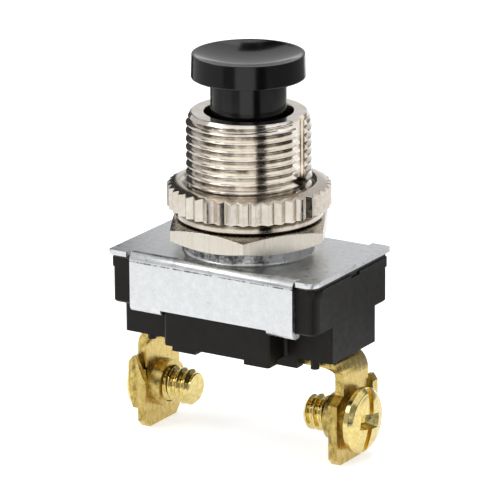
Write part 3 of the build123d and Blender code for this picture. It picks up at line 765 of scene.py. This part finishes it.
# %% [markdown]
# The last helpers feed the shader. Roughness, colour and a fine relief usually follow the same
# grain on a real surface, so they can take the same source.

# %% Roughness, colour and relief


def roughen(tree, shader, source, smooth, rough):
    """Roughness between two values by the source value."""
    tree.links.new(spread(tree, source, smooth, rough), shader.inputs["Roughness"])


def tint(tree, shader, source, dark, light, deep=None):
    """Colour between two tones by the source value, and towards a deep tone where it is near 0."""
    ramp = tree.nodes.new("ShaderNodeValToRGB")
    stops = ramp.color_ramp.elements
    stops[0].color, stops[1].color = (*dark, 1), (*light, 1)
    stops[0].position, stops[1].position = NOISE_LOW, NOISE_HIGH
    if deep:
        stops.new(0.0).color = (*deep, 1)
    tree.links.new(source, ramp.inputs["Fac"])
    tree.links.new(ramp.outputs["Color"], shader.inputs["Base Color"])


def relief(tree, shader, source, distance, strength):
    """A bump of the given height in metres on the shader's normal."""
    bump = add_node(tree, "ShaderNodeBump", Distance=distance, Strength=strength)
    tree.links.new(source, bump.inputs["Height"])
    tree.links.new(bump.outputs["Normal"], shader.inputs["Normal"])


print("feeds: roughen, tint, relief")

# %% [markdown]
# ## Nickel of the face nut
# The nut is turned and nickel plated, a warm grey with faint tool rings. Its hub gets painted
# shade: two dark bands, one on each side of a brighter line, for the shade that falls under the
# knurled band and near the hexagon nut. They could be a second material on their own faces, but
# soft bands need a value that fades with the height. That value is taken off the grain, and the
# colour ramp turns it dark.

# %% Turned nickel
HUB_TOP, HUB_MIDDLE = (-2.45 * MM, -2.4 * MM), -3.1 * MM
HUB_LINE = (0.12 * MM, 0.34 * MM)
RING_SCALE, RING_DETAIL, RING_HEIGHT = 4000, 2.0, 4e-6

turned_nickel, tree, shader = finish("turned_nickel", (0.6, 0.55, 0.48), 1.0, 0.16)
rings = grain(tree, RING_SCALE, detail=RING_DETAIL, lathe=True)
roughen(tree, shader, rings, 0.12, 0.26)
height = gauge(tree)[1]
# painted shade: two dark bands on the hub, one on each side of a brighter line
hub_painted_shade = spread(tree, distance_from(tree, height, HUB_MIDDLE), -0.15, -0.5, *HUB_LINE)
on_hub = fade_out(tree, height, *HUB_TOP)
tone = combine(tree, "MULTIPLY_ADD", hub_painted_shade, on_hub, grain(tree, 500))
tint(tree, shader, tone, (0.56, 0.5, 0.43), (0.66, 0.61, 0.54), (0.12, 0.09, 0.06))
relief(tree, shader, rings, RING_HEIGHT, 0.35)
print(turned_nickel.name, "nodes:", len(tree.nodes))

# %% [markdown]
# ## Nickel of the bushing
# On a thread the roots get painted shade, the dark that falls between the crests, and the crests
# stay bright. The distance from the axis tells crest from root, so this shade needs no image map.
# The keyway's floor, the lip and the lead-in stay bright too. The bore below its lip gets painted
# shade, and so does a spot at the keyway's foot, where the slot's end lies in shadow: there the
# distance from one point does the fading.

# %% Threaded nickel
KEYWAY_FLOOR, ROOT, CREST = 5.3 * MM, 5.43 * MM, 5.61 * MM
LEAD, LIP, BORE_WALL = (6.2 * MM, 6.4 * MM), (6.3 * MM, 6.5 * MM), (4.3 * MM, 4.4 * MM)
SLOT_FOOT, SPOT = (5.5 * MM, 0.0, 0.35 * MM), (0.9 * MM, 1.4 * MM)
PAINTED_SHADE = 0.5

threaded_nickel, tree, shader = finish("threaded_nickel", (0.6, 0.55, 0.48), 1.0, 0.14)
rings = grain(tree, RING_SCALE, detail=RING_DETAIL, lathe=True)
roughen(tree, shader, rings, 0.1, 0.2)
away, height = gauge(tree)
# painted shade: the thread's roots and the bore below the lip are darkened, while crests, keyway
# floor, lip and lead-in stay bright
crest = fade_in(tree, away, ROOT, CREST)
inside = fade_out(tree, away, KEYWAY_FLOOR, ROOT)
in_bore = fade_out(tree, away, *BORE_WALL)
below_lip = fade_out(tree, height, *LIP)
inside = combine(tree, "SUBTRACT", inside, combine(tree, "MULTIPLY", in_bore, below_lip))
on_lead = fade_in(tree, height, *LEAD)
unshaded = combine(tree, "MAXIMUM", combine(tree, "MAXIMUM", crest, inside), on_lead)
# painted shade at the keyway's foot, fading with the distance from one point
keyway_foot_shade = add_node(tree, "ShaderNodeVectorMath", operation="DISTANCE")
tree.links.new(tree.nodes.new("ShaderNodeTexCoord").outputs["Object"], keyway_foot_shade.inputs[0])
keyway_foot_shade.inputs[1].default_value = SLOT_FOOT
unshaded = combine(tree, "MULTIPLY", unshaded, fade_in(tree, keyway_foot_shade.outputs["Value"], *SPOT))
tone = combine(tree, "MULTIPLY_ADD", combine(tree, "SUBTRACT", unshaded, 1.0), PAINTED_SHADE, grain(tree, 500))
tint(tree, shader, tone, (0.74, 0.68, 0.6), (0.92, 0.87, 0.8), (0.1, 0.08, 0.06))
relief(tree, shader, rings, RING_HEIGHT, 0.35)
print(threaded_nickel.name, "nodes:", len(tree.nodes))

# %% [markdown]
# ## Nickel of the hexagon nut
# This nut is cut from drawn bar, and the die leaves fine lines along its flats. Noise that is
# stretched along Z gives such lines, where a wave texture would look too regular.

# %% Drawn nickel
ALONG_Z = (1, 1, 0.04)

drawn_nickel, tree, shader = finish("drawn_nickel", (0.62, 0.58, 0.51), 1.0, 0.25)
lines = grain(tree, 2500, ALONG_Z)
roughen(tree, shader, lines, 0.2, 0.36)
tint(tree, shader, lines, (0.56, 0.51, 0.44), (0.7, 0.66, 0.59))
relief(tree, shader, lines, 6e-6, 0.4)
print(drawn_nickel.name, "nodes:", len(tree.nodes))

# %% [markdown]
# ## Black plastics
# The button is a polished moulding, and its dish is glossier than its side, as a place is that
# fingertips rub. A radius and a height find the dish. The housing is a duller thermoset with a
# fine pitted skin. Both blacks are just above zero, because a real black still shows its form.

# %% Gloss black
DISH_EDGE, DISH_LEVEL = (4.9 * MM, 5.1 * MM), (11.0 * MM, 11.2 * MM)
SIDE_GLOSS, DISH_GLOSS, DISH_SMOOTHER = 0.4, 0.75, -0.05

gloss_black, tree, shader = finish("gloss_black", (0.003, 0.003, 0.003), 0.0, 0.16)
shader.inputs["Specular IOR Level"].default_value = SIDE_GLOSS
away, height = gauge(tree)
within_rim = fade_out(tree, away, *DISH_EDGE)
in_dish = combine(tree, "MULTIPLY", within_rim, fade_in(tree, height, *DISH_LEVEL))
gloss = spread(tree, in_dish, SIDE_GLOSS, DISH_GLOSS, 0, 1)
tree.links.new(gloss, shader.inputs["Specular IOR Level"])
skin = spread(tree, grain(tree, 900), 0.13, 0.2)
skin = combine(tree, "ADD", skin, combine(tree, "MULTIPLY", in_dish, DISH_SMOOTHER))
tree.links.new(skin, shader.inputs["Roughness"])
relief(tree, shader, grain(tree, 260, detail=1.0), 2e-5, 0.12)
print(gloss_black.name, "nodes:", len(tree.nodes))

# %% Moulded black
HOUSING_GLOSS = 0.2

moulded_black, tree, shader = finish("moulded_black", (0.006, 0.005, 0.004), 0.0, 0.38)
shader.inputs["Specular IOR Level"].default_value = HOUSING_GLOSS
roughen(tree, shader, grain(tree, 1500), 0.32, 0.48)
tint(tree, shader, grain(tree, 700), (0.004, 0.0035, 0.003), (0.009, 0.007, 0.005))
relief(tree, shader, grain(tree, 5000, detail=2.0), 1e-5, 0.25)
print(moulded_black.name, "nodes:", len(tree.nodes))

# %% [markdown]
# ## Zinc of the sheet frame
# Zinc on sheet steel is bright and finely mottled. A broken dark line lies under the front bend,
# and the drawn collar gets painted shade, for the hexagon nut's shadow and its dark reflections.
# This shade ends part of the way along X and has a darker rim there. All three are values taken off
# the mottle before it picks the colour.

# %% Bright zinc
BEND_FOOT, BEND_LINE, BEND_GAPS = -7.55 * MM, (0.03 * MM, 0.1 * MM), (0.34, 0.5)
COLLAR, COLLAR_SHADE = (-6.6 * MM, -6.4 * MM), -0.36
SHADE_END, SHADE_FADE, SHADE_RIM_WIDTH = 3.9 * MM, 1.0 * MM, (0.3 * MM, 0.8 * MM)

bright_zinc, tree, shader = finish("bright_zinc", (0.78, 0.79, 0.8), 1.0, 0.3)
mottle = grain(tree, 1500, detail=4.0)
roughen(tree, shader, mottle, 0.24, 0.42)
height, along = gauge(tree)[1], coordinate(tree, "Object", 0)
line = spread(tree, distance_from(tree, height, BEND_FOOT), -0.5, 0.0, *BEND_LINE)
line = combine(tree, "MULTIPLY", line, fade_in(tree, grain(tree, 2600, detail=4.0), *BEND_GAPS))
# painted shade on the drawn collar, darker on one side along X and at a rim where it ends
shade_along = spread(tree, along, 1.15, 0.3, SHADE_END, SHADE_END + SHADE_FADE)
shade_rim = spread(tree, distance_from(tree, along, SHADE_END), 0.35, 0, *SHADE_RIM_WIDTH)
shade_along = combine(tree, "ADD", shade_along, shade_rim)
speckle = spread(tree, grain(tree, 3500, detail=4.0), 0.7, 1.2)
collar_painted_shade = spread(tree, height, 0, COLLAR_SHADE, *COLLAR)
collar_painted_shade = combine(tree, "MULTIPLY", collar_painted_shade, combine(tree, "MULTIPLY", shade_along, speckle))
tone = combine(tree, "ADD", combine(tree, "ADD", mottle, line), collar_painted_shade)
tint(tree, shader, tone, (0.6, 0.61, 0.62), (0.75, 0.77, 0.78), (0.1, 0.1, 0.1))
relief(tree, shader, grain(tree, 2800, detail=4.0), 8e-6, 0.3)
print(bright_zinc.name, "nodes:", len(tree.nodes))

# %% [markdown]
# ## Brass
# The terminals are blanked from rolled strip. Their broad faces are bright with a faint grain
# along the strip, and their narrow edges, where the metal sheared, are darker and speckled. The
# edges face front and back, so the surface's own direction finds them. The screws and rivets are
# turned, smoother and a little paler.

# %% Rolled brass
ALONG_STRIP, EDGE_FACING, SHEARED = (1, 1, 0.5), (0.7, 0.9), (-0.38, -0.06)

rolled_brass, tree, shader = finish("rolled_brass", (0.8, 0.6, 0.24), 1.0, 0.26)
roll = grain(tree, 2600, ALONG_STRIP, 5.0)
roughen(tree, shader, roll, 0.2, 0.38)
front_or_back = distance_from(tree, coordinate(tree, "Normal", 1), 0.0)
edge = fade_in(tree, front_or_back, *EDGE_FACING)
sheared = combine(tree, "MULTIPLY", edge, spread(tree, grain(tree, 1800, detail=4.0), *SHEARED))
tone = combine(tree, "ADD", roll, sheared)
tint(tree, shader, tone, (0.5, 0.37, 0.11), (0.82, 0.64, 0.25), (0.16, 0.11, 0.03))
relief(tree, shader, roll, 1e-5, 0.35)
print(rolled_brass.name, "nodes:", len(tree.nodes))

# %% Turned brass
turned_brass, tree, shader = finish("turned_brass", (0.84, 0.63, 0.25), 1.0, 0.18)
skin = grain(tree, 2600, detail=4.0)
roughen(tree, shader, skin, 0.09, 0.2)
tint(tree, shader, skin, (0.64, 0.51, 0.17), (0.88, 0.73, 0.33))
relief(tree, shader, skin, 6e-6, 0.3)
print(turned_brass.name, "nodes:", len(tree.nodes))

# %% [markdown]
# ## Silver, spring steel and fibre
# These parts work inside the housing and show only when it is taken apart. Each still gets the
# look of its stuff: silver contacts rubbed uneven, bright spring wire, and dull dark fibre.

# %% Inner finishes
silver_face, tree, shader = finish("silver_face", (0.86, 0.86, 0.84), 1.0, 0.3)
roughen(tree, shader, grain(tree, 2000), 0.22, 0.4)
spring_steel, tree, shader = finish("spring_steel", (0.58, 0.58, 0.57), 1.0, 0.25)
roughen(tree, shader, grain(tree, 2500), 0.18, 0.36)
dark_fibre, tree, shader = finish("dark_fibre", (0.04, 0.036, 0.034), 0.0, 0.7)
relief(tree, shader, grain(tree, 3000), 2e-5, 0.4)
print("inner finishes:", silver_face.name, spring_steel.name, dark_fibre.name)

# %% [markdown]
# ## Dressing
# Every new piece and every node that still shows its own solid gets one finish. A table keeps the
# choice in one place, and a piece that is missing from it would be easy to see.

# %% Put each finish on its pieces
SIDES = ("left", "right")
WEARS = {
    threaded_nickel: ["bushing_threaded"],
    turned_nickel: ["face_nut_knurled"],
    drawn_nickel: ["hex_nut_crowned"],
    gloss_black: ["button_moulding"],
    moulded_black: ["housing"],
    bright_zinc: ["top_frame"],
    rolled_brass: ["terminal_left", "terminal_right", "contact_bridge"],
    turned_brass: [
        *(f"terminal_screw_{side}_threaded" for side in SIDES),
        *(f"terminal_rivet_{side}" for side in SIDES),
    ],
    silver_face: [f"{kind}_contact_{side}" for kind in ("fixed", "moving") for side in SIDES],
    spring_steel: ["retaining_ring", "bridge_clip", "contact_spring_coil", "return_spring_coil"],
    dark_fibre: ["insulator"],
}
for material, names in WEARS.items():
    for name in names:
        dress(bpy.data.objects[name], material)
print("pieces dressed:", sum(map(len, WEARS.values())))

# %% [markdown]
# ## Studio
# The switch stands on its two terminals on a pale floor. For the camera and for mirror reflections
# the floor and the world are white, and for diffuse light they stay dimmer, so that white never
# floods the object. Stronger lamps would whiten the floor too, but they would bleach the metal.

# %% Floor
FLOOR, FLOOR_HALF = float(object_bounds()[0].z), 6.0
SEEN_GLOW, CAMERA_GLOW = 0.5, 0.1


def seen_directly(tree):
    """1 for camera, glossy and transmission rays, and 0 for the others: the most of the three."""
    path = tree.nodes.new("ShaderNodeLightPath").outputs
    mirrored = combine(tree, "MAXIMUM", path["Is Glossy Ray"], path["Is Transmission Ray"])
    return combine(tree, "MAXIMUM", path["Is Camera Ray"], mirrored)


mesh = bpy.data.meshes.new("floor")
square = np.array([[-1, -1], [1, -1], [1, 1], [-1, 1]]) * FLOOR_HALF
mesh.from_pydata(np.column_stack([square, np.full(4, FLOOR)]).tolist(), [], [(0, 1, 2, 3)])
floor = bpy.data.objects.new("floor", mesh)
bpy.context.scene.collection.objects.link(floor)
pale_floor, tree, shader = finish("pale_floor", (0.8, 0.8, 0.8), 0.0, 0.9)
shader.inputs["Specular IOR Level"].default_value = 0.0
shader.inputs["Emission Color"].default_value = (1, 1, 1, 1)
to_camera = tree.nodes.new("ShaderNodeLightPath").outputs["Is Camera Ray"]
paler = combine(tree, "MULTIPLY", to_camera, CAMERA_GLOW)
glow = combine(tree, "MULTIPLY_ADD", seen_directly(tree), SEEN_GLOW, paler)
tree.links.new(glow, shader.inputs["Emission Strength"])
dress(floor, pale_floor)
print("floor height, mm:", round(FLOOR / MM, 2))

# %% World
WORLD_LIGHT, WORLD_SEEN = 0.55, 1.0

world = bpy.data.worlds.new("studio")
bpy.context.scene.world = world
world.use_nodes = True
tree = world.node_tree
backdrop = tree.nodes["Background"]
backdrop.inputs["Color"].default_value = (1, 1, 1, 1)
strength = spread(tree, seen_directly(tree), WORLD_LIGHT, WORLD_SEEN, 0, 1)
tree.links.new(strength, backdrop.inputs["Strength"])
print("world strength in diffuse light:", WORLD_LIGHT)

# %% [markdown]
# ## Lamps
# Three large soft lamps light the switch, from the upper left, from the right and from above. A
# sun or a spot would throw the hard shadows that a product picture avoids. Each line of the table
# holds a lamp's place, the length of its side and its power in watts. All aim at the switch.

# %% Lamps
LAMPS = {
    "key": ((-0.35, -0.35, 0.32), 0.35, 1.3),
    "fill": ((0.45, -0.2, 0.1), 0.3, 0.25),
    "top": ((0.0, 0.1, 0.5), 0.3, 0.8),
}
LAMP_AIM = Vector((0, 0, -0.006))

for name, (place, size, power) in LAMPS.items():
    lamp = bpy.data.lights.new(name, "AREA")
    lamp.size, lamp.energy = size, power
    stand = bpy.data.objects.new(name, lamp)
    bpy.context.scene.collection.objects.link(stand)
    stand.location = place
    stand.rotation_mode = "QUATERNION"
    stand.rotation_quaternion = (LAMP_AIM - Vector(place)).to_track_quat("-Z", "Y")
bpy.context.scene.view_settings.view_transform = "Standard"
print("lamps:", ", ".join(LAMPS))

# %% [markdown]
# ## Cards
# Bright metal shows its surroundings, and in a room that is white all round it looks like chalk.
# A photographer stands cards beside such an object. The dark ones give the thread, the nuts and
# the button their dark bands, and the grey ones keep the sheet frame and the dish from going
# blank. They are seen only in mirror reflections, so they shade nothing and no view shows them.
# Each line of the table holds where a card starts and ends round the switch, in degrees to the
# right of the camera, then its lower and its upper edge, and its tone. An edge is a distance from
# the axis and a height. A mat lies on the floor, and one card closes the room overhead.

# %% Cards
CARD_FOOT, CARD_STEPS = FLOOR + 0.0002, 25
CARDS = {
    "card_right": (13, 34, (0.065, CARD_FOOT), (0.065, 0.3), 0.0),
    "mat_right": (13, 34, (0.03, CARD_FOOT), (0.065, CARD_FOOT), 0.0),
    "card_left": (-125, -85, (0.08, CARD_FOOT), (0.08, 0.06), 0.55),
    "card_behind": (-168, -140, (0.065, CARD_FOOT), (0.065, 0.06), 0.05),
    "far_front": (-51, -26, (0.118, CARD_FOOT), (0.118, 0.06), 0.2),
    "far_left": (-140, -51, (0.118, CARD_FOOT), (0.118, 0.06), 0.55),
    "far_right": (34, 150, (0.118, CARD_FOOT), (0.118, 0.06), 0.25),
    "low_right": (100, 135, (0.04, CARD_FOOT), (0.04, CARD_FOOT + 0.0095), 0.35),
    "grey_wall": (145, 215, (0.3, 0.07), (0.3, 0.33), 0.65),
    "high_back": (176, 265, (0.15, 0.13), (0.15, 0.195), 0.02),
    "overhead": (-180, 180, (0.1, 0.2), (0.0, 0.2), 0.55),
}


def arc_card(name, start, end, low, high, tone):
    """A card on part of a circle round the switch, as two rows of points: each row is the circle's
    direction times the edge's distance, at the edge's height. The tone is how bright the card
    looks in a reflection."""
    a = VIEW_AZIMUTH + np.radians(np.linspace(start, end, CARD_STEPS))
    ring = np.column_stack([np.sin(a), -np.cos(a)])
    rows = [np.column_stack([away * ring, np.full(CARD_STEPS, z)]) for away, z in (low, high)]
    i = np.arange(CARD_STEPS - 1)
    quads = np.column_stack([i, i + 1, i + 1 + CARD_STEPS, i + CARD_STEPS])
    mesh = bpy.data.meshes.new(name)
    mesh.from_pydata(np.concatenate(rows).tolist(), [], quads.tolist())
    card = bpy.data.objects.new(name, mesh)
    bpy.context.scene.collection.objects.link(card)
    card.visible_camera = card.visible_diffuse = card.visible_shadow = False
    matt = finish(name, (0, 0, 0), 0.0, 1.0, Specular_IOR_Level=0.0, Emission_Strength=tone)[0]
    dress(card, matt)


for name, place in CARDS.items():
    arc_card(name, *place)
print("cards:", ", ".join(CARDS))
